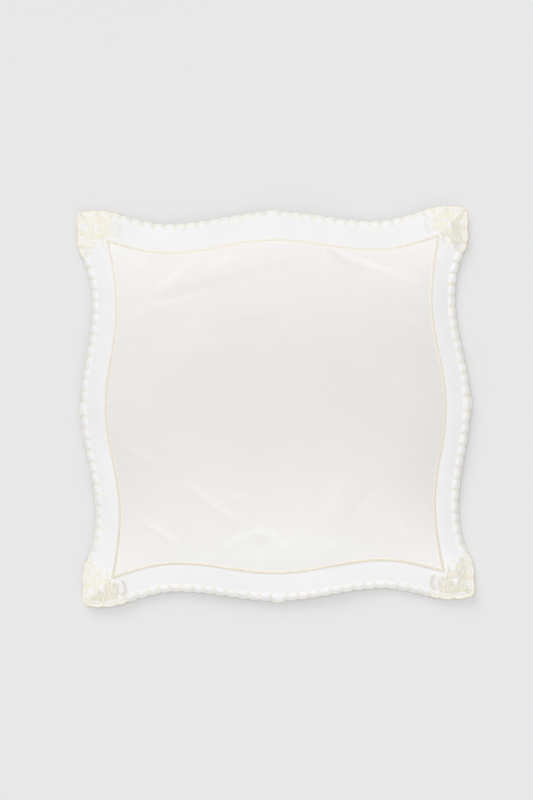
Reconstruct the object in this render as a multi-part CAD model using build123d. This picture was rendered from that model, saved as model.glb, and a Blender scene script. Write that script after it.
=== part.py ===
"""Ring bearer pillow: a stuffed square cushion with a flat wavy border, a piped seam and a shell hem.

The pillow lies on its back. X runs along its top and bottom sides, Y along its other two sides and +Z is up.
The origin is on the surface it lies on, under its middle. Every sewn piece is a node of its own.
"""

import math
import os

from build123d import *

os.makedirs("parts", exist_ok=True)

# Overall size, in millimetres
SIDE = 250.0
HALF = SIDE / 2
SEAM_Z = 8.5
CROWN_Z = 35.0

# Cloth
CLOTH = 0.5
TICKING = 0.3
LAYER_GAP = 0.3

# The piped seam: a wavy line that meets in points at four corners
SEAM_X, SEAM_Y = 105.6, 107.3
DIP_AT = 65.0
SEAM_WAVES = {"x": (-2.5, 5.4), "y": (1.4, 8.5)}
PIPING_RADIUS = 0.8
PIPING_SHARE = 0.012

# The hem: shells that hang on the border's edge, with an outer line as wavy as the seam
HEM_WAVES = {"x": (1.0, 9.5), "y": (1.3, 8.5)}
EAR = 20.0
SHELL_DEPTH = 4.2
SHELL_HEIGHT = 2.0
SHELL_PITCH = 7.15
SHELLS_EACH_WAY = 13
MIDDLE_SHELL = 9.5
CORNER_SHELLS = (5.4, 8.6, 9.1)
RIM = 0.7
CORNER_RIM = 1.1
RIM_HEIGHT = 0.7
VALLEY_SHARE = 0.6
VALLEY_LEAN = 0.12
TOUCH = 0.04

# The underside: scale of the seam line and height, from the resting patch up to the border
BOWL = ((0.0, 0.72), (2.2, 0.88), (8.0, 1.0))
LIP_SCALE = 0.975
INSERT_SCALE = 0.965

# Stitches of the seam, seen under the border
STITCH = (2.6, 0.6, 0.25)
STITCH_PITCH = 4.1
STITCH_SCALE = 1.022

# Corner embroidery
LACE_HEIGHT = 0.5
RELIEF_HEIGHT = 0.9
THREAD_BAND = 1.3

STEPS = 24
CROWN_POWER = 2.6
FAR = 2 * SIDE

SIDES = {"top": ("y", 0), "left": ("x", 90), "bottom": ("y", 180), "right": ("x", 270)}
CORNERS = {"top_right": (1, 1), "top_left": (-1, 1), "bottom_left": (-1, -1), "bottom_right": (1, -1)}


def save(name, shape):
    """Writes one node."""
    shape.label = name
    export_step(shape, f"parts/{name}.step")


def group(solids):
    """Several separate solids as one shape."""
    return Compound(children=list(solids))


def swell(s, crest, dip):
    """The middle swell of a wavy line, from its crest at s = 0 to its dip at DIP_AT."""
    return crest + (dip - crest) * (1 - math.cos(math.pi * s / DIP_AT)) / 2


def seam_offset(axis, other_axis_reach, s):
    """How far the seam lies inside its corner-to-corner line, s from the side's middle."""
    crest, dip = SEAM_WAVES[axis]
    s = min(abs(s), other_axis_reach)
    if s <= DIP_AT:
        return swell(s, crest, dip)
    return dip * math.cos(math.pi / 2 * (s - DIP_AT) / (other_axis_reach - DIP_AT))


def seam_x(y):
    """Half the cushion's width at y."""
    return SEAM_X - seam_offset("x", SEAM_Y, y)


def seam_y(x):
    """Half the cushion's height at x."""
    return SEAM_Y - seam_offset("y", SEAM_X, x)


def hem_offset(axis, s):
    """How far the shells' outer line lies inside the square, s from the side's middle."""
    crest, dip = HEM_WAVES[axis]
    s = abs(s)
    ear_at = HALF - EAR
    if s <= DIP_AT:
        return swell(s, crest, dip)
    if s <= ear_at:
        return dip * (1 + math.cos(math.pi * (s - DIP_AT) / (ear_at - DIP_AT))) / 2
    return 0.0


def spaced(reach):
    """Evenly spaced values from -reach to reach."""
    return [reach * (2 * i / STEPS - 1) for i in range(STEPS + 1)]


def seam_edges(scale, z):
    """The seam line's four sides, scaled about the middle, at height z, anticlockwise."""
    top = [(scale * x, scale * seam_y(x), z) for x in reversed(spaced(SEAM_X))]
    left = [(-scale * seam_x(y), scale * y, z) for y in reversed(spaced(SEAM_Y))]
    bottom = [(scale * x, -scale * seam_y(x), z) for x in spaced(SEAM_X)]
    right = [(scale * seam_x(y), scale * y, z) for y in spaced(SEAM_Y)]
    return {name: Spline(*points) for name, points in
            (("top", top), ("left", left), ("bottom", bottom), ("right", right))}


def seam_face(scale, z):
    """The flat area inside the scaled seam line."""
    return Face(Wire(seam_edges(scale, z).values()))


def prism(face, height):
    """A face pulled straight up."""
    return extrude(face, amount=height, dir=(0, 0, 1))


def crown_face(scale, edge_z, top_z):
    """The cushion's rounded face, with its edge on the scaled seam line."""
    rows = []
    for i in range(STEPS + 1):
        u = 2 * i / STEPS - 1
        row = []
        for j in range(STEPS + 1):
            v = 2 * j / STEPS - 1
            x, y = u * SEAM_X, v * SEAM_Y
            for _ in range(8):
                x, y = u * seam_x(y), v * seam_y(x)
            rise = (1 - abs(u) ** CROWN_POWER) * (1 - abs(v) ** CROWN_POWER)
            row.append(Vector(scale * x, scale * y, edge_z + (top_z - edge_z) * rise))
        rows.append(row)
    return Face.make_surface_from_array_of_points(rows)


def bowl(sections):
    """A solid with the seam's outline at each (height, scale)."""
    return loft([seam_face(scale, z) for z, scale in sections], ruled=True)


def wedge(angle):
    """The quarter of space that holds one side, between planes through the middle and two corners."""
    x, y = (SEAM_X, SEAM_Y) if angle % 180 == 0 else (SEAM_Y, SEAM_X)
    out = FAR / HALF
    corner = Polygon((0, 0), (x * out, y * out), (-x * out, y * out), align=None)
    return Rot(0, 0, angle) * Pos(0, 0, -SIDE) * prism(corner, FAR)


def shell_cells():
    """(start, width, at_corner) of each shell along one side, left to right."""
    widths = [MIDDLE_SHELL / 2] + [SHELL_PITCH] * SHELLS_EACH_WAY + list(CORNER_SHELLS)
    cells, at = [], 0.0
    for i, width in enumerate(widths):
        at_corner = i > SHELLS_EACH_WAY
        if i == 0:
            cells.append((-width, 2 * width, False))
        else:
            cells += [(at, width, at_corner), (-at - width, width, at_corner)]
        at += width
    return sorted(cells)


def edge_point(axis, s):
    """A point of the border's edge on the +Y side, where the shells begin."""
    return Vector(s, HALF - SHELL_DEPTH - hem_offset(axis, s), 0)


def side_points(axis):
    """The border's edge on the +Y side: one straight stretch for each shell."""
    cells = shell_cells()
    ends = [start for start, _, _ in cells] + [cells[-1][0] + cells[-1][1]]
    return [edge_point(axis, s) for s in ends]


def border_outline():
    """The border's edge all round, anticlockwise from the top right."""
    points = []
    for axis, angle in SIDES.values():
        side = [p.rotate(Axis.Z, angle) for p in reversed(side_points(axis))]
        points += side[:-1]
    return Face(Wire(Polyline(*points, close=True)))


def seat(axis, start, width):
    """Where a shell sits: its middle on the border's edge, with local +Y outward."""
    a, b = edge_point(axis, start), edge_point(axis, start + width)
    middle = (a + b) / 2
    turn = math.degrees(math.atan2(b.Y - a.Y, b.X - a.X))
    return Pos(middle.X, middle.Y, SEAM_Z) * Rot(0, 0, turn), (b - a).length


def slab(face, height):
    """A flat piece of that height, half above and half below the seam."""
    return Pos(0, 0, -height / 2) * prism(face, height)


def scallop(half_width, depth):
    """Half an oval, its straight side on the border's edge."""
    beyond = Pos(0, FAR / 2) * Rectangle(FAR, FAR)
    return Ellipse(half_width, depth) & beyond


def round_corner(radius):
    """A quarter of a disc, just clear of both sides' last scallops."""
    beyond = Pos(FAR / 2 + TOUCH, FAR / 2 + TOUCH) * Rectangle(FAR, FAR)
    return Circle(radius) & beyond


def side_shells(axis):
    """The white shells of the +Y side, with the one that rounds its right corner."""
    shells = []
    for start, width, at_corner in shell_cells():
        place, length = seat(axis, start, width)
        rim = CORNER_RIM if at_corner else RIM
        shells.append(place * slab(scallop(length / 2 - rim, SHELL_DEPTH - rim), SHELL_HEIGHT))
    corner = Pos(HALF - SHELL_DEPTH, HALF - SHELL_DEPTH, SEAM_Z)
    return shells + [corner * slab(round_corner(SHELL_DEPTH - CORNER_RIM), SHELL_HEIGHT)]


def rim_face(length, rim):
    """One scallop of the cream edge thread, round its shell and down both valleys."""
    half = length / 2
    valley = VALLEY_SHARE * SHELL_DEPTH
    narrow = half - VALLEY_LEAN
    bars = Polygon((-half, 0), (half, 0), (narrow, valley), (-narrow, valley), align=None)
    return scallop(half, SHELL_DEPTH) + bars - Ellipse(half - rim + TOUCH, SHELL_DEPTH - rim + TOUCH)


def side_thread(axis):
    """The cream edge thread of the +Y side."""
    rims = []
    for start, width, at_corner in shell_cells():
        place, length = seat(axis, start, width)
        face = rim_face(length - TOUCH, CORNER_RIM if at_corner else RIM)
        rims.append(place * slab(face, RIM_HEIGHT))
    corner = Pos(HALF - SHELL_DEPTH, HALF - SHELL_DEPTH, SEAM_Z)
    turn = round_corner(SHELL_DEPTH) - Circle(SHELL_DEPTH - CORNER_RIM + TOUCH)
    return rims + [corner * slab(turn, RIM_HEIGHT)]


def make_panels():
    """The centre panel, the four border strips and the back."""
    save("front_panel", prism(crown_face(1 - PIPING_SHARE, SEAM_Z, CROWN_Z - CLOTH), CLOTH))
    plate = Pos(0, 0, SEAM_Z) * border_outline()
    border = prism(plate, CLOTH) - Pos(0, 0, -1) * prism(seam_face(1 + PIPING_SHARE, SEAM_Z), 3)
    for name, (_, angle) in SIDES.items():
        save(f"border_{name}", border & wedge(angle))
    outside = bowl(BOWL) + Pos(0, 0, SEAM_Z - CLOTH) * prism(border_outline(), CLOTH)
    rise = (BOWL[2][1] - BOWL[1][1]) / (BOWL[2][0] - BOWL[1][0])
    inner = [(z + CLOTH, share) for z, share in BOWL[:2]]
    cavity = bowl(inner + [(BOWL[2][0], BOWL[2][1] - rise * CLOTH)])
    mouth = Pos(0, 0, SEAM_Z - 2 * CLOTH) * prism(seam_face(LIP_SCALE, 0), 2)
    save("back_panel", outside - cavity - mouth)


def make_piping():
    """The cream piping cord of each side, mitred where two sides meet."""
    height = SEAM_Z + PIPING_RADIUS
    for name, line in seam_edges(1.0, height).items():
        tangent = line % 0
        section = Plane(origin=line @ 0, z_dir=tangent) * Circle(PIPING_RADIUS)
        cord = sweep(section, path=line)
        for end in (0, 1):
            reach = (line % end) * (4 * PIPING_RADIUS * (1 if end else -1))
            stub = Plane(origin=line @ end, z_dir=reach.normalized()) * Circle(PIPING_RADIUS)
            cord += extrude(stub, amount=reach.length)
        save(f"piping_{name}", cord & wedge(SIDES[name][1]))


def make_hem():
    """Shells and edge thread, a node of each for every side."""
    for name, (axis, angle) in SIDES.items():
        turn = Rot(0, 0, angle)
        save(f"shell_hem_{name}", group(turn * shell for shell in side_shells(axis)))
        save(f"edge_thread_{name}", group(turn * rim for rim in side_thread(axis)))


def make_insert():
    """The stuffed pad inside: two ticking faces sewn round a filling."""
    rim_z = SEAM_Z - CLOTH
    top = CROWN_Z - CLOTH - LAYER_GAP - TICKING
    front = crown_face(INSERT_SCALE, rim_z, top - TICKING)
    save("insert_ticking_front", prism(front, TICKING))
    outer = [(BOWL[0][0] + CLOTH + LAYER_GAP, 0.70), (BOWL[1][0] + CLOTH + LAYER_GAP, 0.86)]
    rise = (INSERT_SCALE - outer[1][1]) / (rim_z - outer[1][0])
    inner = [(z + TICKING, share) for z, share in outer]
    shell = bowl(outer + [(rim_z, INSERT_SCALE)])
    hollow = bowl(inner + [(rim_z, INSERT_SCALE - rise * TICKING)])
    save("insert_ticking_back", shell - hollow)
    under = [(z + LAYER_GAP, share - 0.01) for z, share in inner]
    under.append((2 * CROWN_Z, under[1][1] + rise * (2 * CROWN_Z - under[1][0])))
    crown = crown_face(INSERT_SCALE - 0.012, rim_z - LAYER_GAP, top - TICKING - LAYER_GAP)
    save("insert_filling", Pos(0, 0, -FAR) * prism(crown, FAR) & bowl(under))


def make_stitching():
    """The seam's stitches under the border, one short thread after another."""
    length, width, height = STITCH
    z = SEAM_Z - CLOTH - height / 2
    stitches = []
    for line in seam_edges(STITCH_SCALE, z).values():
        count = int(line.length / STITCH_PITCH)
        for i in range(count):
            at = (i + 0.5) / count
            spot, along = line @ at, line % at
            turn = math.degrees(math.atan2(along.Y, along.X))
            stitches.append(Pos(*spot) * Rot(0, 0, turn) * Box(length, width, height))
    save("seam_stitching", group(stitches))


def stroke(*points, width=THREAD_BAND):
    """A satin-stitched band along a smooth line."""
    return trace(Spline(*points), line_width=width)


def leaf(x, y, length, width, turn):
    """A pointed leaf shape, its middle at (x, y)."""
    rise = width / 2
    reach = length / 2
    upper = ThreePointArc((-reach, 0), (0, rise), (reach, 0))
    lower = ThreePointArc((reach, 0), (0, -rise), (-reach, 0))
    return Pos(x, y) * Rot(0, 0, turn) * make_face([upper, lower])


def rose_face():
    """A small rose: five petals round a middle."""
    x = y = 7.7
    petals = [Pos(x, y) * Rot(0, 0, 72 * i) * Pos(1.5, 0) * Ellipse(1.2, 1.0) for i in range(5)]
    face = Pos(x, y) * Circle(1.3)
    for petal in petals:
        face += petal
    return face


def leaves_face():
    """Three leaves of a spray, beside the corner, on the upright border."""
    return leaf(7.2, 24.4, 5.6, 2.6, 60) + leaf(9.9, 26.2, 4.6, 2.2, 115) + leaf(14.0, 25.6, 3.6, 1.7, 75)


def bud_face():
    """A round bud on the level border."""
    return Pos(25.6, 10.8) * Ellipse(3.4, 5.4)


def lace_face():
    """The lace between them: a curved band, a net, bars and an arch."""
    face = stroke((11.2, 5.2), (13.6, 9.2), (18.2, 13.6), width=1.7)
    face += stroke((9.2, 20.8), (11.4, 17.2), (14.4, 17.2), (15.6, 21.6), width=1.5)
    for i in range(3):
        face += Pos(5.9 + 1.3 * i, 13.8) * Rectangle(0.7, 6.6)
    for y in (10.6, 17.0):
        face += Pos(7.2, y) * Rectangle(4.6, 0.9)
    for i in range(4):
        face += Pos(15.6 + 1.3 * i, 7.4) * Rectangle(0.5, 5.4)
    for y in (4.9, 7.4, 9.9):
        face += Pos(17.5, y) * Rectangle(5.2, 0.5)
    face += Pos(11.4, 12.9) * RectangleRounded(4.4, 3.0, 1.2) - Pos(11.4, 12.9) * Circle(1.0)
    return face


def make_corners():
    """The four embroidered corners, mirrored: shapes are drawn from the outer corner inward."""
    rose, leaves, bud, lace = rose_face(), leaves_face(), bud_face(), lace_face()
    heights = {"corner_rose": (rose, RELIEF_HEIGHT), "corner_leaves": (leaves, RELIEF_HEIGHT),
               "corner_bud": (bud, RELIEF_HEIGHT), "corner_lace": (lace - rose - leaves - bud, LACE_HEIGHT)}
    for kind, (face, height) in heights.items():
        drawn = Pos(-HALF, -HALF, SEAM_Z + CLOTH) * prism(face, height)
        for name, (right, up) in CORNERS.items():
            solid = drawn if right < 0 else mirror(drawn, about=Plane.YZ)
            solid = solid if up < 0 else mirror(solid, about=Plane.XZ)
            save(f"{kind}_{name}", solid)


make_panels()
make_piping()
make_hem()
make_insert()
make_stitching()
make_corners()
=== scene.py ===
"""Looks of the ring bearer pillow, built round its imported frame.

Lengths in this file are millimetres until Mesh.make, which writes metres. The pillow lies on its back with
its middle over the origin, +X to the right and +Y to its top. Everything outside the seam is drawn flat and
then draped over the border's gently waving height.
"""

import math

import bmesh
import bpy
import numpy as np
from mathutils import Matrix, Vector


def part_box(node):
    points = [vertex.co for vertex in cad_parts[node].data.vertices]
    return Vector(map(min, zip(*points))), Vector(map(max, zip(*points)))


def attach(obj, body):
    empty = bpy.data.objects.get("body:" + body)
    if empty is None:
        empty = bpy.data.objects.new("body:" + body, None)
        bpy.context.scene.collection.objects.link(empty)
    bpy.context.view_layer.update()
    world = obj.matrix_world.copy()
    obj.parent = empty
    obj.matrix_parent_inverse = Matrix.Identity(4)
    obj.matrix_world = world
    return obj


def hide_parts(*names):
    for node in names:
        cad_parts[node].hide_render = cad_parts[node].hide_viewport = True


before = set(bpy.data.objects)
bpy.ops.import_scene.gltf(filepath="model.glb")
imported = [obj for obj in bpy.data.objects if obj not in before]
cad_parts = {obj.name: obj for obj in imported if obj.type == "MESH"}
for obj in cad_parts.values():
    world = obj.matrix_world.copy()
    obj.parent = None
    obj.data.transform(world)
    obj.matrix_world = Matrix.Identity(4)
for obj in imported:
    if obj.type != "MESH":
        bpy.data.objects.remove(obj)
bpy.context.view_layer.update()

MM = 0.001

# Overall sizes, from the frame
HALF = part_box("edge_thread_right")[1].x / MM
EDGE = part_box("border_right")[1].x / MM
SHELL_DEPTH = HALF - EDGE
SEAM_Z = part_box("border_top")[0].z / MM
CROWN_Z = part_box("front_panel")[1].z / MM

# The two wavy lines: how far each lies inside its corner-to-corner line, at its crests and dips. "x" is for
# the left and right sides, and "y" for the top and bottom.
SEAM_X, SEAM_Y = 105.6, 107.3
DIP_AT = 65.0
SEAM_WAVES = {"x": (-2.5, 5.4), "y": (1.4, 8.5)}
HEM_WAVES = {"x": (0.3, 8.8), "y": (0.5, 7.5)}

# The ears: how far from the corner each is straight, how steeply its line falls to the dip and how much it
# bulges
EAR = 22.0
EAR_ROUND = 0.75
EAR_STEEPNESS = {"x": 0.5, "y": 0.0}
STEEP_SHARE = 0.6
EAR_BULGE = {"x": 0.2, "y": 1.2}
BULGE_AT = 13
BULGE_REACH = 9

# Shells along each side, from the middle outward
SHELL_PITCH = 7.15
SHELLS_EACH_WAY = 13
MIDDLE_SHELL = 9.5
CORNER_SHELLS = (5.4, 8.6, 9.1)

# Cloth, and how far the border sinks from the seam to its free edge
CLOTH = 0.4
DROOP = 2.8
CORNER_DROOP = 0.2
CORNER_DROP = 1.0
RIPPLE = 0.55

# Each side's wavy line, and the turn that brings it there from the +Y side
SIDES = {"top": ("y", 0), "left": ("x", 90), "bottom": ("y", 180), "right": ("x", 270)}
CORNERS = {"top_right": (1, 1), "top_left": (-1, 1), "bottom_left": (-1, -1), "bottom_right": (1, -1)}

# How far the cloth is pulled out of true at each corner, and how far from the corner that is felt
PULLS = {"top_right": (0.0, 0.4), "top_left": (0.2, 1.3),
         "bottom_left": (-0.3, -1.0), "bottom_right": (0.4, 0.9)}
PULL_REACH = 26.0


# -------- outlines

def swell(s, crest, dip):
    """The middle swell of a wavy line, from its crest at s = 0 to its dip at DIP_AT."""
    return crest + (dip - crest) * (1 - np.cos(np.pi * s / DIP_AT)) / 2


def seam_offset(axis, reach, s):
    """How far the seam lies inside its corner-to-corner line, s from the side's middle."""
    crest, dip = SEAM_WAVES[axis]
    s = np.minimum(np.abs(s), reach)
    tail = dip * np.cos(np.pi / 2 * (s - DIP_AT) / (reach - DIP_AT))
    return np.where(s <= DIP_AT, swell(s, crest, dip), tail)


def seam_x(y):
    """Half the cushion's width at y."""
    return SEAM_X - seam_offset("x", SEAM_Y, y)


def seam_y(x):
    """Half the cushion's height at x."""
    return SEAM_Y - seam_offset("y", SEAM_X, x)


def hem_offset(axis, s):
    """How far the shells' outer line lies inside the square, s from the side's middle."""
    crest, dip = HEM_WAVES[axis]
    s = np.abs(s)
    share = np.clip((HALF - EAR - s) / (HALF - EAR - DIP_AT), 0, 1)
    gentle = EAR_ROUND * np.sin(np.pi / 2 * share) + (1 - EAR_ROUND) * (1 - np.cos(np.pi * share)) / 2
    steep = 1 - np.clip(1 - share / STEEP_SHARE, 0, 1) ** 2
    tail = dip * (gentle + EAR_STEEPNESS[axis] * (steep - gentle))
    bulge = EAR_BULGE[axis] * np.exp(-((s - HALF + BULGE_AT) / BULGE_REACH) ** 2)
    return np.where(s <= DIP_AT, swell(s, crest, dip), tail) - bulge


def edge_y(axis, s):
    """The border's edge on the +Y side, where the shells begin."""
    return EDGE - hem_offset(axis, s)


def at_points(x, y, z=0.0):
    """An array of points from their coordinates."""
    return np.stack(np.broadcast_arrays(x, y, z), axis=-1)


def length_along(line):
    """The length along a line at each of its points."""
    return np.concatenate([[0], np.cumsum(np.linalg.norm(np.diff(line, axis=0), axis=1))])


def turned(points, angle):
    """Points turned about Z by a multiple of 90 degrees."""
    c, s = round(math.cos(math.radians(angle))), round(math.sin(math.radians(angle)))
    x, y = points[..., 0], points[..., 1]
    out = points.copy()
    out[..., 0], out[..., 1] = c * x - s * y, s * x + c * y
    return out


def across(x, y):
    """0 at the seam to 1 at the border's edge, and on past it."""
    ax, ay = np.abs(x), np.abs(y)
    level = (ay - seam_y(x)) / (edge_y("y", np.minimum(ax, EDGE)) - seam_y(x))
    upright = (ax - seam_x(y)) / (edge_y("x", np.minimum(ay, EDGE)) - seam_x(y))
    return np.clip(np.where(ay / SEAM_Y > ax / SEAM_X, level, upright), 0, 1.4)


def border_height(x, y):
    """Height of the middle of the border's two cloths, which droop to their free edge and wave a little."""
    t = across(x, y)
    corner = np.clip((np.minimum(np.abs(x), np.abs(y)) / SEAM_X - 0.4) / 0.6, 0, 1)
    corner = corner * corner * (3 - 2 * corner)
    broad = np.sin(x / 17.3 + 0.6) * np.cos(y / 21.1 + 0.3)
    slanting = 0.6 * np.sin((x + y) / 11.9 + 2.1)
    fine = 0.35 * np.sin(x / 3.7 + 1.0) * np.cos(y / 4.3)
    droop = (DROOP + CORNER_DROOP * corner) * t ** 1.4
    return SEAM_Z - CORNER_DROP * corner - droop + RIPPLE * (broad + slanting + fine) * t


def pull(points):
    """Moves points by the cloth's pull at the corners."""
    moved = points.copy()
    for name, (right, up) in CORNERS.items():
        far = np.hypot(points[:, 0] - right * HALF, points[:, 1] - up * HALF)
        moved[:, :2] += np.exp(-(far / PULL_REACH) ** 2)[:, None] * PULLS[name]
    return moved


# -------- meshes

def add_object(name, data):
    """A new object in the scene."""
    thing = bpy.data.objects.new(name, data)
    bpy.context.scene.collection.objects.link(thing)
    return thing


def cells(grid):
    """What a grid holds at the four corners of each of its cells, in order round the cell."""
    around = np.stack([grid[:-1, :-1], grid[:-1, 1:], grid[1:, 1:], grid[1:, :-1]], axis=2)
    return around.reshape((-1, 4) + grid.shape[2:])


class Mesh:
    """Collects patches of faces, with a UV in millimetres for each corner, and makes one object of them."""

    def __init__(self):
        self.points, self.faces, self.uvs, self.slots = [], [], [], []
        self.count = self.slot = 0

    def patch(self, grid, uv, wrap=False, caps=False):
        """Adds a grid of points. wrap joins its last column to its first, and caps closes its end rows."""
        rows, cols = grid.shape[:2]
        index = self.count + np.arange(rows * cols).reshape(rows, cols)
        if wrap:
            index = np.concatenate([index, index[:, :1]], axis=1)
        self.faces += cells(index).tolist()
        self.uvs.append(cells(uv).reshape(-1, 2))
        if caps:
            for row, flip in ((0, 1), (rows - 1, -1)):
                self.faces.append(index[row, :cols][::-flip].tolist())
                self.uvs.append(uv[row, :cols][::-flip].reshape(-1, 2))
        self.slots += [self.slot] * (len(self.faces) - len(self.slots))
        self.points.append(grid.reshape(-1, 3))
        self.count += rows * cols

    def make(self, name, *materials, drape=True):
        """The finished object. drape lifts its flat-drawn points onto the border."""
        points = np.concatenate(self.points)
        if drape:
            points[:, 2] += border_height(points[:, 0], points[:, 1])
        mesh = bpy.data.meshes.new(name)
        mesh.from_pydata((pull(points) * MM).tolist(), [], self.faces)
        mesh.uv_layers.new(name="cloth_mm").data.foreach_set("uv", np.concatenate(self.uvs).ravel())
        mesh.polygons.foreach_set("use_smooth", [True] * len(mesh.polygons))
        mesh.polygons.foreach_set("material_index", self.slots)
        for material in materials:
            mesh.materials.append(material)
        return add_object(name, mesh)


def outward(piece, weld=False):
    """Turns every face outward. weld first joins the points that lie in one place."""
    work = bmesh.new()
    work.from_mesh(piece.data)
    if weld:
        bmesh.ops.remove_doubles(work, verts=work.verts, dist=1e-6)
    bmesh.ops.recalc_face_normals(work, faces=work.faces)
    work.to_mesh(piece.data)
    work.free()
    return piece


def finish_piece(piece, node):
    """Puts a piece on the pillow's one body, in place of its CAD node."""
    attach(piece, "root")
    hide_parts(node)


def thicken(piece, thickness, offset):
    """Gives a sheet its thickness, in the mesh itself."""
    solid = piece.modifiers.new("thickness", "SOLIDIFY")
    solid.thickness = thickness * MM
    solid.offset = offset
    solid.use_even_offset = False
    apply_modifiers(piece)
    piece.data.set_sharp_from_angle(angle=math.radians(40))


def apply_modifiers(piece):
    """Replaces a piece's mesh by what its modifiers make of it."""
    graph = bpy.context.evaluated_depsgraph_get()
    evaluated = piece.evaluated_get(graph)
    mesh = bpy.data.meshes.new_from_object(evaluated, preserve_all_data_layers=True, depsgraph=graph)
    piece.modifiers.clear()
    old = piece.data
    piece.data = mesh
    bpy.data.meshes.remove(old)
    mesh.name = piece.name


# Over 1, an oval's sides are drawn flat to the cloth
FLATNESS = 1.6


def tube(mesh, line, width, height, pitch, rib, slant=0.0, around=10, lift=0.0, taper=0.0):
    """A satin-stitched band: an oval tube along a flat line, ribbed by its threads.

    line is an array of points, width and height are the oval's axes at each point, and pitch is the distance
    from thread to thread. rib is how deep the grooves between threads are, and slant turns the threads. lift
    raises the band, and taper is the length over which its ends are rounded.
    """
    line = np.asarray(line, float)
    along = length_along(line)
    count = max(4, math.ceil(along[-1] / (pitch / 3)))
    at = np.linspace(0, along[-1], count + 1)
    middle = np.stack([np.interp(at, along, line[:, k]) for k in range(3)], axis=1)
    width = np.interp(at, along, np.broadcast_to(width, along.shape))
    height = np.interp(at, along, np.broadcast_to(height, along.shape))
    ends = np.minimum(at, at[-1] - at)
    if taper > 0:
        rounding = np.sqrt(np.clip(1 - (1 - np.clip(ends / taper, 0, 1)) ** 2, 0.0004, 1))
        width, height = width * rounding, height * rounding
    heading = np.gradient(middle[:, :2], axis=0)
    heading /= np.linalg.norm(heading, axis=1, keepdims=True) + 1e-12
    normal = np.stack([-heading[:, 1], heading[:, 0]], axis=1)
    turn = np.linspace(0, 2 * np.pi, around, endpoint=False)
    phase = 2 * np.pi * (at[:, None] / pitch + slant * np.cos(turn)[None, :])
    swellings = 1 + rib * np.cos(phase)
    side = (width[:, None] / 2) * np.cos(turn)[None, :] * (1 + 0.25 * rib * np.cos(phase))
    grid = np.zeros((count + 1, around, 3))
    grid[..., :2] = middle[:, None, :2] + normal[:, None, :] * side[..., None]
    arch = np.sign(np.sin(turn)) * np.abs(np.sin(turn)) ** FLATNESS
    grid[..., 2] = middle[:, 2:] + lift + (height[:, None] / 2) * arch[None, :] * swellings
    uv = at_points(at[:, None], np.linspace(0, 4, around + 1))[..., :2]
    mesh.patch(grid, uv, wrap=True, caps=True)


def smooth_line(points, count):
    """A smooth line through a few points, or a smooth sheet through a few lines."""
    points = np.asarray(points, float)
    padded = np.concatenate([2 * points[:1] - points[1:2], points, 2 * points[-1:] - points[-2:-1]])
    spans = len(points) - 1
    at = np.linspace(0, spans, count)
    i = np.minimum(at.astype(int), spans - 1)
    t = (at - i).reshape((-1,) + (1,) * (points.ndim - 1))
    p0, p1, p2, p3 = (padded[i + k] for k in range(4))
    return 0.5 * (2 * p1 + (p2 - p0) * t + (2 * p0 - 5 * p1 + 4 * p2 - p3) * t ** 2
                  + (3 * p1 - p0 - 3 * p2 + p3) * t ** 3)


# -------- materials

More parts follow.
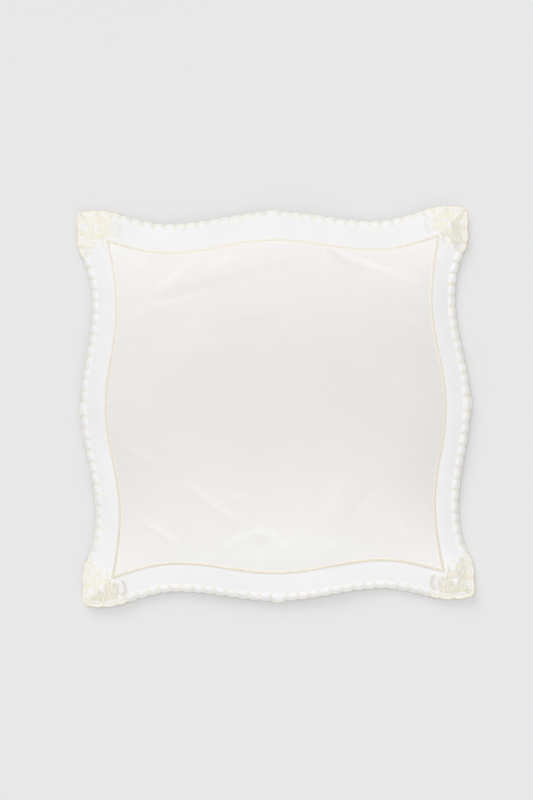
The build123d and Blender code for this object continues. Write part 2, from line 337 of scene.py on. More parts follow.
class Shader:
    """A new material with short ways to add and join its nodes."""

    def __init__(self, name, roughness, sheen=0.0, specular=0.3, anisotropic=0.0):
        self.material = bpy.data.materials.new(name)
        self.material.use_nodes = True
        self.tree = self.material.node_tree
        self.principled = self.tree.nodes["Principled BSDF"]
        values = {"Roughness": roughness, "Sheen Weight": sheen, "Sheen Roughness": 0.4,
                  "Specular IOR Level": specular, "Anisotropic": anisotropic}
        for socket, value in values.items():
            self.principled.inputs[socket].default_value = value

    def add(self, kind, **settings):
        node = self.tree.nodes.new("ShaderNode" + kind)
        for key, value in settings.items():
            setattr(node, key, value)
        return node

    def plug(self, target, value):
        """Joins an output to an input, or sets the input to a number."""
        if isinstance(value, (int, float, tuple)):
            target.default_value = value
        else:
            self.tree.links.new(value, target)

    def math(self, operation, a, b=0.0):
        node = self.add("Math", operation=operation)
        self.plug(node.inputs[0], a)
        self.plug(node.inputs[1], b)
        return node.outputs[0]

    def plus(self, a, b):
        return self.math("ADD", a, b)

    def minus(self, a, b):
        return self.math("SUBTRACT", a, b)

    def times(self, a, b):
        return self.math("MULTIPLY", a, b)

    def uv(self):
        """The cloth's own flat coordinates in millimetres, as separate U and V."""
        split = self.add("SeparateXYZ")
        self.plug(split.inputs[0], self.add("UVMap", uv_map="cloth_mm").outputs[0])
        return split.outputs[0], split.outputs[1]

    def place(self):
        """The point's place in metres."""
        return self.add("TexCoord").outputs["Object"]

    def spot(self):
        """The point's X and Y from the pillow's middle, in units of 100 mm."""
        split = self.add("SeparateXYZ")
        self.plug(split.inputs[0], self.place())
        return [self.math("DIVIDE", way, 100 * MM) for way in split.outputs[:2]]

    def noise(self, scale, detail, vector=None):
        """Soft noise of about 0 to 1, finer with a larger scale."""
        node = self.add("TexNoise")
        self.plug(node.inputs["Vector"], vector or self.place())
        self.plug(node.inputs["Scale"], float(scale))
        self.plug(node.inputs["Detail"], float(detail))
        return node.outputs["Fac"]

    def stretched(self, u_scale, v_scale):
        """Noise drawn out along one thread direction, for slubs."""
        join = self.add("CombineXYZ")
        u, v = self.uv()
        self.plug(join.inputs[0], self.times(u, u_scale))
        self.plug(join.inputs[1], self.times(v, v_scale))
        return self.noise(1, 1, join.outputs[0])

    def wave(self, value, pitch):
        """A sine of a length, once every pitch."""
        return self.math("SINE", self.times(value, 2 * math.pi / pitch))

    def colour(self, dark, light, factor, low=0.3, high=0.7):
        """Base colour between two tones."""
        ramp = self.add("ValToRGB")
        for stop, place, tone in zip(ramp.color_ramp.elements, (low, high), (dark, light)):
            stop.position = place
            stop.color = linear(tone)
        self.plug(ramp.inputs[0], factor)
        self.plug(self.principled.inputs["Base Color"], ramp.outputs[0])

    def bump(self, height, depth):
        """Fine relief of the surface, depth in millimetres."""
        node = self.add("Bump")
        self.plug(node.inputs["Height"], height)
        self.plug(node.inputs["Distance"], depth * MM)
        self.plug(node.inputs["Strength"], 1.0)
        self.plug(self.principled.inputs["Normal"], node.outputs[0])

    def weave(self, pitch, depth):
        """The relief of plain weave: a grid of crossings and a few thicker threads, which it returns."""
        u, v = self.uv()
        crossing = self.times(self.wave(u, 2 * pitch), self.wave(v, 2 * pitch))
        slubs = self.plus(self.stretched(0.06, 2.4), self.stretched(2.4, 0.06))
        self.bump(self.plus(self.times(self.math("ABSOLUTE", crossing), 0.6), slubs), depth)
        return slubs

    def painted_light(self, tone, greyer_sides, whiter_top, whiter_corners=0.0):
        """Painted light and shade that change over the pillow.

        greyer_sides is how much painted shade darkens the pillow's left and right while painted light lifts
        its top and bottom. whiter_top gives the top more painted light, or below zero the bottom.
        whiter_corners adds painted light at the corners only.
        """
        x, y = self.spot()
        rise = self.times(y, self.plus(y, whiter_top))
        fall = self.minus(self.times(x, x), rise)
        corner = self.math("POWER", self.math("ABSOLUTE", self.times(x, y)), 4.0)
        tone = self.minus(tone, self.times(fall, greyer_sides))
        return self.plus(tone, self.times(corner, whiter_corners))

    def vary_roughness(self, factor, low, high):
        """Roughness between two values."""
        spread = self.add("MapRange")
        self.plug(spread.inputs["Value"], factor)
        self.plug(spread.inputs["To Min"], low)
        self.plug(spread.inputs["To Max"], high)
        self.plug(self.principled.inputs["Roughness"], spread.outputs[0])


def linear(colour):
    """A colour of 0 to 255 as it looks on a screen, as linear light."""
    values = [c / 255 for c in colour]
    return tuple(v / 12.92 if v <= 0.04045 else ((v + 0.055) / 1.055) ** 2.4 for v in values) + (1.0,)


def ticking_cloth():
    """The pad's plain weave with a soft change of tone."""
    s = Shader("ticking_cloth", 0.85, 0.1)
    tone = s.plus(s.times(s.weave(0.3, 0.03), 0.35), s.times(s.noise(14, 3), 0.35))
    s.colour((240, 238, 232), (246, 244, 240), tone, 0.3, 0.75)
    s.vary_roughness(s.noise(60, 2), 0.79, 0.91)
    return s.material


# How the panel's painted light and shade change with its place, X and Y in units of 100 mm, and with each
# mm of a fold's height: painted highlight where a fold rises and painted shade where it sinks
PAINTED_LIGHT_Y, PAINTED_LIGHT_YY = -0.32, 0.91
PAINTED_LIGHT_XX, PAINTED_LIGHT_XXY, PAINTED_LIGHT_XXYY = 0.22, 0.36, -0.55
PAINTED_FOLD_LIGHT = 0.24


def panel_cloth():
    """The centre's plain weave, with painted light that whitens its top and bottom, and painted highlight on
    the folds' ridges and painted shade in their hollows.
    """
    s = Shader("panel_cloth", 0.72, 0.25)
    slubs = s.weave(0.36, 0.03)
    x, y = s.spot()
    # Painted light by place: whiter towards the top and bottom, and changing across the left and right
    rows = s.times(y, s.plus(s.times(y, PAINTED_LIGHT_YY), PAINTED_LIGHT_Y))
    sides = s.plus(s.times(y, s.plus(s.times(y, PAINTED_LIGHT_XXYY), PAINTED_LIGHT_XXY)), PAINTED_LIGHT_XX)
    tone = s.plus(rows, s.times(s.times(x, x), sides))
    tone = s.plus(tone, s.times(s.minus(s.noise(22, 3), 0.5), 0.25))
    tone = s.plus(tone, s.times(s.minus(slubs, 1.0), 0.12))
    # The folds' heights paint highlight on their ridges and shade in their hollows
    lift = s.add("Attribute", attribute_name="fold_mm").outputs["Fac"]
    s.colour((233, 230, 227), (252, 251, 249), s.plus(tone, s.times(lift, PAINTED_FOLD_LIGHT)), 0.0, 1.0)
    return s.material


def satin(name, dark, light, pitch, roughness, **places):
    """Satin-faced cloth: long floats that lie side by side, with a low gloss. places set the painted light
    and shade that painted_light lays over it.
    """
    s = Shader(name, roughness, 0.2, anisotropic=0.3)
    u, v = s.uv()
    floats = s.wave(s.plus(v, s.times(u, 0.04)), pitch)
    steps = s.stretched(0.9, 4.0)
    s.bump(s.plus(s.times(floats, 0.25), steps), 0.02)
    tone = s.plus(s.times(steps, 0.3), s.times(s.noise(18, 3), 0.7))
    # The cloth's own tone, with painted light and shade by place laid over it
    s.colour(dark, light, s.painted_light(tone, **places))
    s.vary_roughness(s.noise(45, 2), roughness - 0.06, roughness + 0.08)
    return s.material


def thread(name, dark, light, pitch, depth, roughness, sheen, twist=1.0, **places):
    """Thread laid side by side across a band, with its own small changes of tone and painted shade
    in the grooves between its strands. places, where given, add painted light and shade through
    painted_light.
    """
    s = Shader(name, roughness, sheen, anisotropic=0.4)
    u, v = s.uv()
    strands = s.wave(s.plus(u, s.times(v, twist * pitch)), pitch)
    fibres = s.stretched(3.0, 0.8)
    s.bump(s.plus(strands, fibres), depth)
    # The strands' ripple darkens the grooves between them as painted shade; the fibres are the thread's own
    # tone
    groove_shade_and_fibres = s.plus(s.times(strands, 0.14), s.times(fibres, 0.5))
    tone = s.plus(groove_shade_and_fibres, s.times(s.noise(160, 2), 0.5))
    # Painted light and shade by place, where places are given
    s.colour(dark, light, s.painted_light(tone, **places) if places else tone)
    s.vary_roughness(fibres, roughness - 0.05, roughness + 0.1)
    return s.material


def fibre_fill():
    """Loose polyester fibre."""
    s = Shader("fibre_fill", 0.9, 0.5)
    wisps = s.noise(900, 6)
    s.bump(wisps, 0.6)
    s.colour((242, 242, 240), (250, 250, 249), wisps)
    return s.material


def plain_floor():
    """A pale, matt table top with the faintest change of tone."""
    s = Shader("floor_matt", 1.0, specular=0.0)
    s.colour((232, 232, 232), (233, 233, 233), s.noise(3, 2))
    return s.material


THREAD_PITCH = 0.42
PIPING_PITCH = 0.55
EMBROIDERY = {"pitch": THREAD_PITCH, "depth": 0.03, "roughness": 0.42, "sheen": 0.2}

PANEL = panel_cloth()
# Painted light and shade by place on the border, shells, piping and edge thread: greyer_sides darkens the
# left and right and lightens the top and bottom, whiter_top lightens the top or, below zero, the bottom, and
# whiter_corners lightens the corners.
BORDER = satin("border_cloth", (236, 236, 236), (246, 246, 246), pitch=0.32, roughness=0.55,
               greyer_sides=0.12, whiter_top=-0.5, whiter_corners=0.06)
SHELL = satin("shell_cloth", (237, 237, 236), (247, 247, 246), pitch=0.3, roughness=0.5,
              greyer_sides=0.06, whiter_top=0.5)
PIPING = thread("piping_satin", (243, 235, 214), (253, 247, 231), PIPING_PITCH, depth=0.05, roughness=0.5,
                sheen=0.2, greyer_sides=0.25, whiter_top=1.2, whiter_corners=0.15)
EDGING = thread("edge_thread", (246, 242, 229), (253, 249, 237), **EMBROIDERY, greyer_sides=0.2,
                whiter_top=-0.6)
CREAM = thread("cream_thread", (254, 247, 227), (255, 253, 240), **EMBROIDERY)
PALE = thread("pale_thread", (250, 246, 234), (254, 251, 243), **EMBROIDERY)
DUSK = thread("dusk_thread", (246, 243, 232), (251, 249, 240), **EMBROIDERY)
SEAM = thread("seam_thread", (236, 231, 216), (246, 242, 230), pitch=0.3, depth=0.03, roughness=0.6,
              sheen=0.1, twist=2.0)
TICKING = ticking_cloth()
FIBRE = fibre_fill()


# -------- cushion

GRID = 104
CROWDING = 1.25
CROWN_POWER = 2.6
START_RISE = 20.0
START_SAG = 6.0

# The simulation runs on a cushion ten times as large, which Blender's cloth handles better
SIM_SCALE = 10
FRAMES = 24
# The furthest that a point may be moved
FURTHEST = 16.0
FILLING = {
    "quality": 6, "mass": 0.2, "air_damping": 2.0, "tension_stiffness": 18, "compression_stiffness": 18,
    "shear_stiffness": 8, "bending_stiffness": 2.5, "tension_damping": 5, "compression_damping": 5,
    "shear_damping": 5, "shrink_min": -0.006, "use_pressure": True, "uniform_pressure_force": 3.0,
    "vertex_group_mass": "seam",
}


def cushion_grid():
    """Where each point of the cushion's square grid lies, and its place in the cloth from -1 to 1."""
    # Columns crowd towards the seam, where the cloth puckers
    line = np.sin(np.linspace(-1, 1, GRID + 1) * CROWDING) / math.sin(CROWDING)
    u, v = np.meshgrid(line, line, indexing="ij")
    x, y = u * SEAM_X, v * SEAM_Y
    # Half a width depends on y and half a height on x, so the two are found in turns
    for _ in range(12):
        x, y = u * seam_x(y), v * seam_y(x)
    return u, v, x, y


def start_layers():
    """The cushion's front and back before it is filled: two shallow shells that meet at the seam."""
    u, v, x, y = cushion_grid()
    rise = (1 - np.abs(u) ** CROWN_POWER) * (1 - np.abs(v) ** CROWN_POWER)
    seam = border_height(x, y)
    return at_points(x, y, seam + START_RISE * rise), at_points(x, y, seam - START_SAG * rise ** 0.5)


def rim_mask(layer):
    """Which of a layer's points lie on its rim."""
    rim = np.ones(layer.shape[:2], bool)
    rim[1:-1, 1:-1] = False
    return rim


def simulate(front, back):
    """Sews the two layers together, blows them up as filling does, and returns them."""
    rim = rim_mask(front)
    rows, cols = rim.shape
    front_index = np.arange(rows * cols).reshape(rows, cols)
    back_index = np.where(rim, front_index, -1)
    back_index[~rim] = rows * cols + np.arange((~rim).sum())
    points = np.concatenate([front.reshape(-1, 3), back[~rim]])
    faces = cells(front_index)[:, [0, 3, 2, 1]].tolist() + cells(back_index)[:, [1, 2, 3, 0]].tolist()
    mesh = bpy.data.meshes.new("sewn")
    mesh.from_pydata((points * MM * SIM_SCALE).tolist(), [], faces)
    sewn = add_object("sewn", mesh)
    sewn.vertex_groups.new(name="seam").add(front_index[rim].tolist(), 1.0, "REPLACE")
    cloth = sewn.modifiers.new("filling", "CLOTH")
    for setting, value in FILLING.items():
        setattr(cloth.settings, setting, value)
    cloth.settings.effector_weights.gravity = 0
    cloth.collision_settings.use_collision = False
    cloth.collision_settings.use_self_collision = False
    cloth.point_cache.frame_start = 1
    cloth.point_cache.frame_end = FRAMES
    for step in range(1, FRAMES + 1):
        bpy.context.scene.frame_set(step)
    settled = sewn.evaluated_get(bpy.context.evaluated_depsgraph_get()).to_mesh()
    out = np.zeros(len(points) * 3)
    settled.vertices.foreach_get("co", out)
    out = out.reshape(-1, 3) / (MM * SIM_SCALE)
    bpy.data.objects.remove(sewn)
    bpy.data.meshes.remove(mesh)
    bpy.context.scene.frame_set(1)
    moved = out - points
    far = np.linalg.norm(moved, axis=1, keepdims=True)
    out = points + moved * np.minimum(1, FURTHEST / np.maximum(far, 1e-9))
    return out[front_index], out[back_index]


FRONT_GRID = 156
# The outer part of the half width over which folds die away to the seam
SEAM_FADE = 0.03
# Each fold's two ends with a point between them, its height and its width. Those below zero are hollows.
FOLDS = (
    ((-92, 87), (-86, 92), (-79, 95), 0.6, 2.6), ((-76, 74), (-62, 84), (-46, 97), 1.0, 2.6),
    ((-42, 87), (-33, 94), (-21, 98), 0.8, 3.4), ((-76, 68), (-41, 79), (16, 92), -0.7, 3.6),
    ((-80, 64), (-62, 68), (-40, 74), 0.9, 2.3), ((-99, 52), (-90, 59), (-80, 63), 0.6, 3.0),
    ((-69, 42), (-56, 48), (-43, 50), 0.4, 4.0), ((-34, 48), (-14, 54), (4, 57), -0.5, 3.6),
    ((-76, 35), (-48, 38), (-18, 40), 0.3, 4.5), ((-54, 28), (-36, 29), (-16, 32), -0.3, 3.6),
    ((41, 99), (62, 90), (80, 83), 1.1, 2.2), ((76, 84), (86, 80), (97, 76), 0.6, 3.0),
    ((36, 101), (46, 92), (64, 85), -0.8, 2.6), ((79, 56), (88, 54), (97, 50), 0.6, 2.6),
    ((32, 28), (47, 29), (64, 23), 0.4, 2.2), ((34, 24), (44, 22), (52, 18), -0.3, 3.0),
    ((-95, -24), (-86, -29), (-76, -36), 0.45, 2.2), ((-59, -46), (-42, -60), (-20, -74), 0.6, 2.4),
    ((-88, -71), (-74, -78), (-57, -93), 0.6, 2.2), ((-36, -91), (-25, -84), (-12, -78), 0.6, 2.6),
    ((-16, -78), (-5, -81), (4, -90), 0.6, 2.6), ((4, -86), (3, -92), (2, -99), 0.7, 3.0),
    ((-11, -83), (-11, -88), (-11, -95), -0.9, 3.2), ((-71, -43), (-62, -34), (-55, -26), 0.3, 2.4),
    ((-31, -60), (-25, -57), (-19, -54), 0.4, 2.0), ((43, -45), (37, -57), (30, -70), 0.5, 4.6),
    ((6, -26), (15, -31), (24, -38), 0.4, 2.2), ((29, -97), (32, -91), (36, -85), 0.7, 3.0),
    ((76, -72), (80, -80), (83, -88), 0.4, 2.6), ((62, -50), (51, -62), (45, -78), -0.4, 3.2),
)


def fold_height(x, y):
    """Height of the front's folds, which die away at their ends and at the seam."""
    height = np.zeros_like(x)
    fade = np.sin(np.pi * np.linspace(0, 1, 60)) ** 0.6
    for *points, tall, width in FOLDS:
        line = smooth_line(points, 60)
        step = np.linalg.norm(np.diff(line, axis=0), axis=1).mean()
        far = np.hypot(x[..., None] - line[:, 0], y[..., None] - line[:, 1])
        near = np.exp(-(far / width) ** 2)
        height += tall * step / (width * math.sqrt(math.pi)) * (near * fade).sum(axis=-1)
    edge = np.minimum(1 - np.abs(x) / seam_x(y), 1 - np.abs(y) / seam_y(x))
    return height * np.clip(edge / SEAM_FADE, 0, 1)


# How far from a corner the simulation's own wrinkles are smoothed, in how many rounds and how much in each
CALM_REACH = 42.0
CALM_ROUNDS = 150
CALM_SHARE = 0.9
# The soft shoulder of the back round the patch that rests
SHOULDER = 1.2


def calm_corners(front):
    """Smooths the wrinkles that the simulation leaves near the corners."""
    far = np.hypot(SEAM_X - np.abs(front[..., 0]), SEAM_Y - np.abs(front[..., 1]))
    share = CALM_SHARE * np.exp(-(far[1:-1, 1:-1] / CALM_REACH) ** 4)
    z = front[..., 2]
    for _ in range(CALM_ROUNDS):
        around = (z[:-2, 1:-1] + z[2:, 1:-1] + z[1:-1, :-2] + z[1:-1, 2:]) / 4
        z[1:-1, 1:-1] += share * (around - z[1:-1, 1:-1])


def fill_cushion():
    """The filled cushion's front and back layers, set to the frame's crown and flat where they rest."""
    front, back = start_layers()
    front, back = simulate(front, back)
    seam = border_height(front[..., 0], front[..., 1])
    calm_corners(front)
    lift = (CROWN_Z - seam.min()) / (front[..., 2].max() - seam.min())
    front[..., 2] = seam + (front[..., 2] - seam) * lift
    # The floor presses the back flat
    back[..., 2] = SHOULDER * np.log1p(np.exp(np.clip(back[..., 2] / SHOULDER, -30, 30)))
    back[..., 2] += CLOTH / 2 - back[..., 2].min()
    rim = rim_mask(front)
    back[rim] = front[rim]
    return front, back


def flat_uv(grid):
    """The cloth's flat coordinates for a grid of points, measured along its rows and columns."""
    uv = np.zeros(grid.shape[:2] + (2,))
    du = np.linalg.norm(np.diff(grid, axis=0), axis=-1)
    dv = np.linalg.norm(np.diff(grid, axis=1), axis=-1)
    uv[1:, :, 0] = np.cumsum(du, axis=0)
    uv[:, 1:, 1] = np.cumsum(dv, axis=1)
    uv[..., 0] -= uv[-1:, :, 0] / 2
    uv[..., 1] -= uv[:, -1:, 1] / 2
    return uv


def strip_grid(rim_points, axis, angle, rows=14):
    """A border strip between the seam's own points on one side and the border's edge."""
    inner = turned(rim_points, -angle)
    reach = np.abs(inner[:, 0]).max()
    s = inner[:, 0] / reach * EDGE
    outer = np.stack([s, edge_y(axis, s)], axis=-1)
    outer[[0, -1], 1] = EDGE
    t = np.linspace(0, 1, rows)[:, None, None]
    flat = inner[None, :, :2] * (1 - t) + outer[None] * t
    return turned(at_points(flat[..., 0], flat[..., 1]), angle)


def rim_of(front, name):
    """The seam's points along one side of the cushion's grid."""
    return {"top": front[:, -1], "bottom": front[:, 0], "left": front[0, :], "right": front[-1, :]}[name]


def make_front(front):
    """The front, on a finer grid than the simulation's, with its folds."""
    fine = smooth_line(front, FRONT_GRID + 1).transpose(1, 0, 2)
    fine = smooth_line(fine, FRONT_GRID + 1)
    height = fold_height(fine[..., 0], fine[..., 1])
    fine[..., 2] += height
    mesh = Mesh()
    mesh.patch(fine, flat_uv(fine.transpose(1, 0, 2)).transpose(1, 0, 2))
    piece = mesh.make("cover_front_panel", PANEL, drape=False)
    # The folds' heights, from which the panel paints highlight on ridges and shade in hollows
    piece.data.attributes.new("fold_mm", "FLOAT", "POINT").data.foreach_set("value", height.ravel())
    thicken(piece, CLOTH, 0)
    finish_piece(piece, "front_panel")


def make_back(front, back):
    """The back of the cushion and of the border, in one piece."""
    mesh = Mesh()
    mesh.patch(back, flat_uv(back))
    for name, (axis, angle) in SIDES.items():
        strip = strip_grid(rim_of(front, name), axis, angle)
        strip[..., 2] = border_height(strip[..., 0], strip[..., 1])
        strip[0] = rim_of(front, name)
        mesh.patch(strip, strip[..., :2])
    piece = outward(mesh.make("cover_back_panel", BORDER, drape=False), weld=True)
    thicken(piece, CLOTH, 0)
    finish_piece(piece, "back_panel")


def make_border(front):
    """The border's four upper strips."""
    for name, (axis, angle) in SIDES.items():
        mesh = Mesh()
        strip = strip_grid(rim_of(front, name), axis, angle, rows=22)
        strip[..., 2] = CLOTH
        mesh.patch(strip, turned(strip, -angle)[..., :2])
        piece = mesh.make(f"border_strip_{name}", BORDER)
        thicken(piece, CLOTH, 1)
        finish_piece(piece, f"border_{name}")


# How far the pad's ticking and its fibre lie inside the cover, and the ticking's thickness
TICKING_GAP = 0.9
FIBRE_GAP = 1.6
TICKING_CLOTH = 0.25
# How far from the middle the pad is narrower by just one gap
NARROWING = 45


def make_pad(front, back):
    """The inner pad: two ticking faces round the fibre."""
    middle = (front + back) / 2

    def inside(layer, gap):
        """A layer drawn in from the cover by a gap, and by less where the cushion is thin."""
        thick = np.abs(layer - middle)[..., 2:]
        shrunk = layer * [1 - gap / NARROWING, 1 - gap / NARROWING, 1]
        return shrunk - np.sign(layer - middle) * np.minimum(gap, 0.75 * thick) * [0, 0, 1]

    for name, layer in (("front", inside(front, TICKING_GAP)), ("back", inside(back, TICKING_GAP))):
        mesh = Mesh()
        mesh.patch(layer[::2, ::2], flat_uv(layer[::2, ::2]))
        piece = mesh.make(f"pad_ticking_{name}", TICKING, drape=False)
        thicken(piece, TICKING_CLOTH, 0)
        finish_piece(piece, f"insert_ticking_{name}")
    mesh = Mesh()
    for layer in (inside(front, FIBRE_GAP), inside(back, FIBRE_GAP)):
        mesh.patch(layer[::2, ::2], flat_uv(layer[::2, ::2]))
    piece = outward(mesh.make("pad_filling", FIBRE, drape=False), weld=True)
    finish_piece(piece, "insert_filling")


front_layer, back_layer = fill_cushion()
make_front(front_layer)
make_back(front_layer, back_layer)
make_border(front_layer)
make_pad(front_layer, back_layer)


# -------- piping

PIPING_SIZE = 1.6
PIPING_LIFT = 0.45


def make_piping(front):
    """The cord in the seam, one length a side."""
    for name in SIDES:
        line = rim_of(front, name).copy()
        line[:, 2] = border_height(line[:, 0], line[:, 1]) + PIPING_LIFT
        mesh = Mesh()
        tube(mesh, line, PIPING_SIZE, PIPING_SIZE, PIPING_PITCH, rib=0.03, slant=0.3, around=12, taper=0.5)
        piece = outward(mesh.make(f"piping_cord_{name}", PIPING, drape=False))
        finish_piece(piece, f"piping_{name}")


make_piping(front_layer)


# -------- shells

LAST_SHELL = SHELLS_EACH_WAY + len(CORNER_SHELLS)
SHELL_POINTS = 25
# How far out the valley between two shells lies, as a share of the shells' depth
VALLEY = 0.64
CORNER_VALLEY = 0.68
# How much further out the middle shell reaches, how far each goes in under the border, the gap between two
# and the corner's rounding
MIDDLE_EXTRA = 1.1
TUCK = 1.6
BAR = 1.3
CORNER_ROUND = 4.5
CORNER_INSET = 1.5
# Half the thickness of a shell, and its back's share of that
PLUMP = 1.55
CORNER_PLUMP = 1.1
BACK_SHARE = 0.6

# The threads: width and height of a rim, a bar and the tape
RIM, RIM_HEIGHT = 1.0, 1.0
CORNER_RIM, CORNER_RIM_HEIGHT = 1.9, 1.8
BAR_THREAD, BAR_HEIGHT = 1.5, 1.7
TAPE_EXTRA, TAPE_HEIGHT = 1.5, 1.3
RIB_PITCH = 0.45
CORNER_LIFT = 0.35


def seat(axis, start, width):
    """A function that takes flat (x, y) beside a shell's seat to the +Y side, and the seat's length."""
    a = np.array([start, edge_y(axis, start)])
    b = np.array([start + width, edge_y(axis, start + width)])
    length = np.linalg.norm(b - a)
    along = (b - a) / length
    out = np.array([-along[1], along[0]])

    def place(points):
        flat = (a + b) / 2 + points[..., :1] * along + points[..., 1:2] * out
        return np.concatenate([flat, points[..., 2:]], axis=-1)
    return place, length


def outline(axis, start, width, number, rim, at_corner):
    """A shell's outer line on the +Y side, and the inner line where the border covers it."""
    place, length = seat(axis, start, width)
    half = length / 2
    depth = SHELL_DEPTH + (MIDDLE_EXTRA if number == 0 else 0)
    share = np.sin(np.linspace(-1, 1, SHELL_POINTS) * np.pi / 2)
    valley = depth * (CORNER_VALLEY if at_corner else VALLEY)
    top = valley + (depth - valley) * (1 - np.abs(share) ** 2.2) ** 0.5 - rim / 2
    outer = place(at_points(share * half, top))
    inner = place(at_points(share * half, -TUCK))
    if number == LAST_SHELL:
        # The last shell goes round to the corner's diagonal
        right = 1 if start > 0 else -1
        near = outer[::right][:SHELL_POINTS // 2]
        turn = np.radians(np.linspace(90, 45, SHELL_POINTS - len(near)))
        centre, radius = HALF - CORNER_ROUND, CORNER_ROUND - rim / 2
        bend = at_points(centre + radius * np.cos(turn), centre + radius * np.sin(turn))
        outer = np.concatenate([near, bend * [right, 1, 1]])[::right]
        far = EDGE - CORNER_INSET
        ends = (start, far) if right > 0 else (-far, start + width)
        inner = at_points(np.linspace(*ends, SHELL_POINTS), EDGE - TUCK)
    return outer, inner


def puff(mesh, inner, outer, plump, angle):
    """A padded shell between its two lines, with a flatter back."""
    c = length_along(outer[:, :2])
    c = 2 * c / c[-1] - 1
    middle = (inner.mean(axis=0) + outer.mean(axis=0)) / 2
    narrower = [1 - BAR / np.linalg.norm(outer[-1] - outer[0]), 1, 1]
    inner, outer = (middle + (line - middle) * narrower for line in (inner, outer))
    t = np.linspace(0, 1, 13)
    flat = inner[:, None] * (1 - t)[None, :, None] + outer[:, None] * t[None, :, None]
    rise = (1 - np.abs(c) ** 2.6) ** 0.5
    swelling = rise[:, None] * np.sin(np.pi * t ** 1.4).clip(0, 1) ** 0.7
    for side in (plump, -BACK_SHARE * plump):
        layer = flat.copy()
        layer[..., 2] = side * swelling
        mesh.patch(turned(layer, angle), flat[..., :2])


def side_shells(axis):
    """(number from the middle, start, width, at_corner) of each shell along a side."""
    widths = [MIDDLE_SHELL / 2] + [SHELL_PITCH] * SHELLS_EACH_WAY + list(CORNER_SHELLS)
    ends = np.cumsum(widths)
    yield 0, -ends[0], 2 * ends[0], False
    for number in range(1, len(widths)):
        for right in (1, -1):
            start = ends[number - 1] if right > 0 else -ends[number]
            yield number, start, widths[number], number > SHELLS_EACH_WAY


def make_shells():
    """Each side's row of padded shells."""
    for name, (axis, angle) in SIDES.items():
        mesh = Mesh()
        for number, start, width, at_corner in side_shells(axis):
            rim = CORNER_RIM if at_corner else RIM
            outer, inner = outline(axis, start, width, number, rim, at_corner)
            uneven = 0.1 * math.sin(number * 2.4 + start)
            puff(mesh, inner, outer, (CORNER_PLUMP if at_corner else PLUMP) + uneven, angle)
        piece = outward(mesh.make(f"shells_{name}", SHELL), weld=True)
        finish_piece(piece, f"shell_hem_{name}")


def stitch_shell(mesh, axis, angle, number, start, width, at_corner):
    """The satin rim of a shell, and the bar in the valley at its end that is further from the middle."""
    rim = CORNER_RIM if at_corner else RIM
    outer, _ = outline(axis, start, width, number, rim, at_corner)
    mesh.slot = int(at_corner)
    tube(mesh, turned(outer, angle), rim, CORNER_RIM_HEIGHT if at_corner else RIM_HEIGHT, RIB_PITCH, 0.1,
         slant=0.1, lift=CORNER_LIFT if at_corner else 0.0, taper=0.2)
    mesh.slot = 0
    if number == LAST_SHELL:
        return
    end = start + width if start > 0 or number == 0 else start
    for at in (end, -end) if number == 0 else (end,):
        place, _ = seat(axis, at - 1, 2)
        bar = np.array([[0, -1.3, 0], [0, SHELL_DEPTH * VALLEY - 0.3, 0]])
        tube(mesh, turned(place(bar), angle), BAR_THREAD, BAR_HEIGHT, RIB_PITCH, 0.08,
             lift=CORNER_LIFT if at_corner else 0.1, taper=0.5)


def lay_tape(mesh, axis, angle):
    """The tape under the shells, which shows between them."""
    reach = EDGE + 1.6
    along = np.linspace(-reach, reach, 160)
    line = at_points(along, edge_y(axis, along) + SHELL_DEPTH * VALLEY / 2 - 0.6)
    width = SHELL_DEPTH * VALLEY + TAPE_EXTRA
    tube(mesh, turned(line, angle), width, TAPE_HEIGHT, 2 * RIB_PITCH, 0.06, around=8)


def make_edge_stitching():
    """The stitching of each side's shells."""
    for name, (axis, angle) in SIDES.items():
        mesh = Mesh()
        for shell in side_shells(axis):
            stitch_shell(mesh, axis, angle, *shell)
        lay_tape(mesh, axis, angle)
        piece = outward(mesh.make(f"edge_stitching_{name}", EDGING, CREAM))
        finish_piece(piece, f"edge_thread_{name}")


make_shells()
make_edge_stitching()


# -------- seam stitches underneath

STITCH_STEP = 4.1
# Just outside the seam
STITCH_LINE = 1.022


def make_seam_stitches(front):
    """The stitches below the border that hold its layers and the piping together."""
    mesh = Mesh()
    for name in SIDES:
        line = rim_of(front, name) * [STITCH_LINE, STITCH_LINE, 1]
        steps = length_along(line[:, :2])
        count = int(steps[-1] / STITCH_STEP)
        for i in range(count):
            at = np.array([i + 0.18, i + 0.5, i + 0.82]) * steps[-1] / count
            x, y = (np.interp(at, steps, line[:, k]) for k in range(2))
            stitch = at_points(x, y, [-CLOTH, -CLOTH - 0.12, -CLOTH])
            tube(mesh, stitch, 0.5, 0.4, 0.3, 0.1, slant=0.5, around=6, taper=0.3)
    piece = outward(mesh.make("seam_stitches", SEAM))
    finish_piece(piece, "seam_stitching")


make_seam_stitches(front_layer)


# -------- corner embroidery

BAND_POINTS = 60
# How far a band is padded up from its nominal height
PADDING = 1.25
NET_PITCH = 2.4


def band(mesh, points, width, height=0.8, leaf=False, pitch=THREAD_PITCH, around=10, lift=0.4):
    """A raised satin band along a smooth line; as a leaf it is widest in its middle."""
    line = smooth_line(points, BAND_POINTS)
    t = np.linspace(0, 1, BAND_POINTS)
    tall = height * PADDING
    if leaf:
        width = width * np.sin(np.pi * np.clip(t, 0.02, 0.98)) ** 0.7
        tall = tall * (0.5 + 0.5 * np.sin(np.pi * t) ** 0.5)
    flat = np.concatenate([line, np.full((BAND_POINTS, 1), CLOTH)], axis=1)
    tube(mesh, flat, width, tall, pitch, 0.08, slant=0.15, around=around, lift=lift,
         taper=0.0 if leaf else width / 2)


def strands(mesh, first, last, count, width=0.9, height=0.5):
    """Threads laid side by side, from a first line to a last one."""
    first, last = np.asarray(first, float), np.asarray(last, float)
    for share in np.linspace(0, 1, count):
        band(mesh, first * (1 - share) + last * share, width, height)


